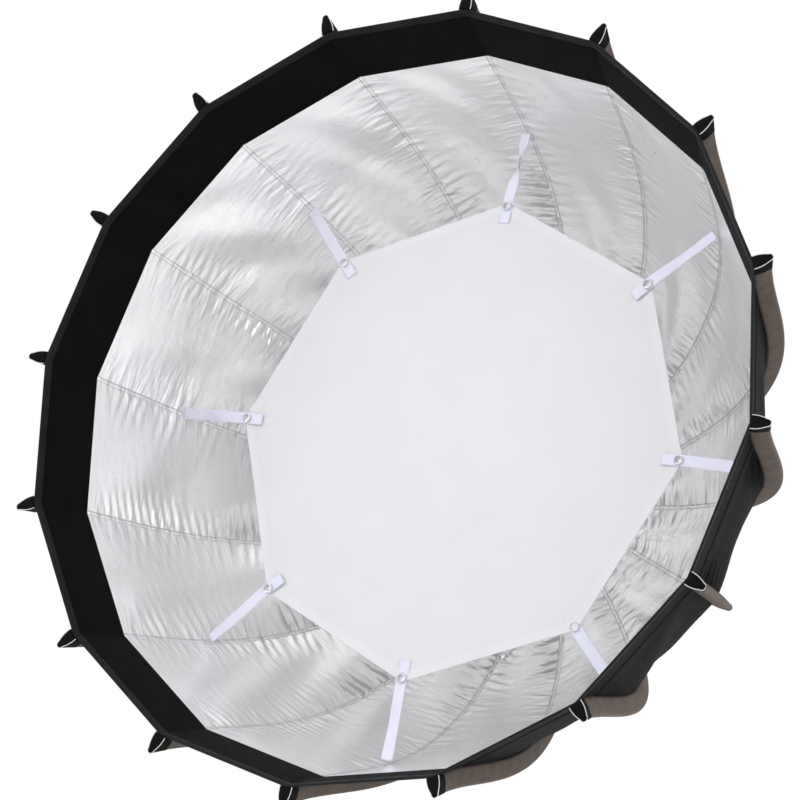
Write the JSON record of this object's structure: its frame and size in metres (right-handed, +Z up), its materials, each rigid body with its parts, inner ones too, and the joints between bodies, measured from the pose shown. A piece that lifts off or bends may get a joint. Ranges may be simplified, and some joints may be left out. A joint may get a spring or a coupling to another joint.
{
  "type": "folding deep octabox softbox",
  "caption": "Deep round softbox for a studio light: ribbed black cloth bowl, silver inside, flared front lip, octagonal inner diffuser, folding speed ring.",
  "frame": {"origin": "centre of the throat at the rear seat face of the bayonet flange", "axes": "+Y along the optical axis and out of the back, so the mouth faces -Y; +Z up, with a gore, not a rib, at the top"},
  "size_m": [0.9278, 0.496, 0.9278],
  "materials": {
    "canopy_cloth": "black outside and on the lip, silver satin inside",
    "sleeve_cloth": "taupe woven",
    "diffuser_cloth": "white translucent nylon",
    "white_tape": "white woven tape",
    "snap_plastic": "clear moulded",
    "rib_rod": "black fibreglass rod with moulded knuckle",
    "ring_metal": "black painted casting",
    "bayonet_metal": "satin",
    "screw_steel": "zinc plated"
  },
  "bodies": {
    "hub": {"speed_ring": "ring_metal", "cover_ring": "ring_metal", "cover_screws": "screw_steel", "hinge_pins": "screw_steel", "detent_springs": "screw_steel", "bayonet_ring": "bayonet_metal", "bayonet_screws": "screw_steel", "inner_diffuser": "diffuser_cloth", "diffuser_tabs": "white_tape", "diffuser_straps": "white_tape", "snap_buttons": "snap_plastic"},
    "rib_01": {"rod_01": "rib_rod", "sleeve_01": "sleeve_cloth", "gore_01": "canopy_cloth"},
    "rib_02": {"rod_02": "rib_rod", "sleeve_02": "sleeve_cloth", "gore_02": "canopy_cloth"},
    "rib_03": {"rod_03": "rib_rod", "sleeve_03": "sleeve_cloth", "gore_03": "canopy_cloth"},
    "rib_04": {"rod_04": "rib_rod", "sleeve_04": "sleeve_cloth", "gore_04": "canopy_cloth"},
    "rib_05": {"rod_05": "rib_rod", "sleeve_05": "sleeve_cloth", "gore_05": "canopy_cloth"},
    "rib_06": {"rod_06": "rib_rod", "sleeve_06": "sleeve_cloth", "gore_06": "canopy_cloth"},
    "rib_07": {"rod_07": "rib_rod", "sleeve_07": "sleeve_cloth", "gore_07": "canopy_cloth"},
    "rib_08": {"rod_08": "rib_rod", "sleeve_08": "sleeve_cloth", "gore_08": "canopy_cloth"},
    "rib_09": {"rod_09": "rib_rod", "sleeve_09": "sleeve_cloth", "gore_09": "canopy_cloth"},
    "rib_10": {"rod_10": "rib_rod", "sleeve_10": "sleeve_cloth", "gore_10": "canopy_cloth"},
    "rib_11": {"rod_11": "rib_rod", "sleeve_11": "sleeve_cloth", "gore_11": "canopy_cloth"},
    "rib_12": {"rod_12": "rib_rod", "sleeve_12": "sleeve_cloth", "gore_12": "canopy_cloth"},
    "rib_13": {"rod_13": "rib_rod", "sleeve_13": "sleeve_cloth", "gore_13": "canopy_cloth"},
    "rib_14": {"rod_14": "rib_rod", "sleeve_14": "sleeve_cloth", "gore_14": "canopy_cloth"},
    "rib_15": {"rod_15": "rib_rod", "sleeve_15": "sleeve_cloth", "gore_15": "canopy_cloth"},
    "rib_16": {"rod_16": "rib_rod", "sleeve_16": "sleeve_cloth", "gore_16": "canopy_cloth"}
  },
  "joints": [
    {"name": "fold_01", "type": "hinge", "parent": "hub", "child": "rib_01", "pos_m": [0.01483, -0.019, 0.07454], "axis": [0.9808, 0, -0.1951], "range_deg": [0, 40], "deforming": ["gore_01", "inner_diffuser", "diffuser_tabs", "diffuser_straps", "snap_buttons"]},
    {"name": "fold_02", "type": "hinge", "parent": "hub", "child": "rib_02", "pos_m": [0.04222, -0.019, 0.06319], "axis": [0.8315, 0, -0.5556], "range_deg": [0, 40], "deforming": ["gore_02"]},
    {"name": "fold_03", "type": "hinge", "parent": "hub", "child": "rib_03", "pos_m": [0.06319, -0.019, 0.04222], "axis": [0.5556, 0, -0.8315], "range_deg": [0, 40], "deforming": ["gore_03"]},
    {"name": "fold_04", "type": "hinge", "parent": "hub", "child": "rib_04", "pos_m": [0.07454, -0.019, 0.01483], "axis": [0.1951, 0, -0.9808], "range_deg": [0, 40], "deforming": ["gore_04"]},
    {"name": "fold_05", "type": "hinge", "parent": "hub", "child": "rib_05", "pos_m": [0.07454, -0.019, -0.01483], "axis": [-0.1951, 0, -0.9808], "range_deg": [0, 40], "deforming": ["gore_05"]},
    {"name": "fold_06", "type": "hinge", "parent": "hub", "child": "rib_06", "pos_m": [0.06319, -0.019, -0.04222], "axis": [-0.5556, 0, -0.8315], "range_deg": [0, 40], "deforming": ["gore_06"]},
    {"name": "fold_07", "type": "hinge", "parent": "hub", "child": "rib_07", "pos_m": [0.04222, -0.019, -0.06319], "axis": [-0.8315, 0, -0.5556], "range_deg": [0, 40], "deforming": ["gore_07"]},
    {"name": "fold_08", "type": "hinge", "parent": "hub", "child": "rib_08", "pos_m": [0.01483, -0.019, -0.07454], "axis": [-0.9808, 0, -0.1951], "range_deg": [0, 40], "deforming": ["gore_08"]},
    {"name": "fold_09", "type": "hinge", "parent": "hub", "child": "rib_09", "pos_m": [-0.01483, -0.019, -0.07454], "axis": [-0.9808, 0, 0.1951], "range_deg": [0, 40], "deforming": ["gore_09"]},
    {"name": "fold_10", "type": "hinge", "parent": "hub", "child": "rib_10", "pos_m": [-0.04222, -0.019, -0.06319], "axis": [-0.8315, 0, 0.5556], "range_deg": [0, 40], "deforming": ["gore_10"]},
    {"name": "fold_11", "type": "hinge", "parent": "hub", "child": "rib_11", "pos_m": [-0.06319, -0.019, -0.04222], "axis": [-0.5556, 0, 0.8315], "range_deg": [0, 40], "deforming": ["gore_11"]},
    {"name": "fold_12", "type": "hinge", "parent": "hub", "child": "rib_12", "pos_m": [-0.07454, -0.019, -0.01483], "axis": [-0.1951, 0, 0.9808], "range_deg": [0, 40], "deforming": ["gore_12"]},
    {"name": "fold_13", "type": "hinge", "parent": "hub", "child": "rib_13", "pos_m": [-0.07454, -0.019, 0.01483], "axis": [0.1951, 0, 0.9808], "range_deg": [0, 40], "deforming": ["gore_13"]},
    {"name": "fold_14", "type": "hinge", "parent": "hub", "child": "rib_14", "pos_m": [-0.06319, -0.019, 0.04222], "axis": [0.5556, 0, 0.8315], "range_deg": [0, 40], "deforming": ["gore_14"]},
    {"name": "fold_15", "type": "hinge", "parent": "hub", "child": "rib_15", "pos_m": [-0.04222, -0.019, 0.06319], "axis": [0.8315, 0, 0.5556], "range_deg": [0, 40], "deforming": ["gore_15"]},
    {"name": "fold_16", "type": "hinge", "parent": "hub", "child": "rib_16", "pos_m": [-0.01483, -0.019, 0.07454], "axis": [0.9808, 0, 0.1951], "range_deg": [0, 40], "deforming": ["gore_16"]}
  ],
  "couplings": [
    {"joint": "fold_02", "follows": "fold_01", "ratio": 1},
    {"joint": "fold_03", "follows": "fold_01", "ratio": 1},
    {"joint": "fold_04", "follows": "fold_01", "ratio": 1},
    {"joint": "fold_05", "follows": "fold_01", "ratio": 1},
    {"joint": "fold_06", "follows": "fold_01", "ratio": 1},
    {"joint": "fold_07", "follows": "fold_01", "ratio": 1},
    {"joint": "fold_08", "follows": "fold_01", "ratio": 1},
    {"joint": "fold_09", "follows": "fold_01", "ratio": 1},
    {"joint": "fold_10", "follows": "fold_01", "ratio": 1},
    {"joint": "fold_11", "follows": "fold_01", "ratio": 1},
    {"joint": "fold_12", "follows": "fold_01", "ratio": 1},
    {"joint": "fold_13", "follows": "fold_01", "ratio": 1},
    {"joint": "fold_14", "follows": "fold_01", "ratio": 1},
    {"joint": "fold_15", "follows": "fold_01", "ratio": 1},
    {"joint": "fold_16", "follows": "fold_01", "ratio": 1}
  ]
}
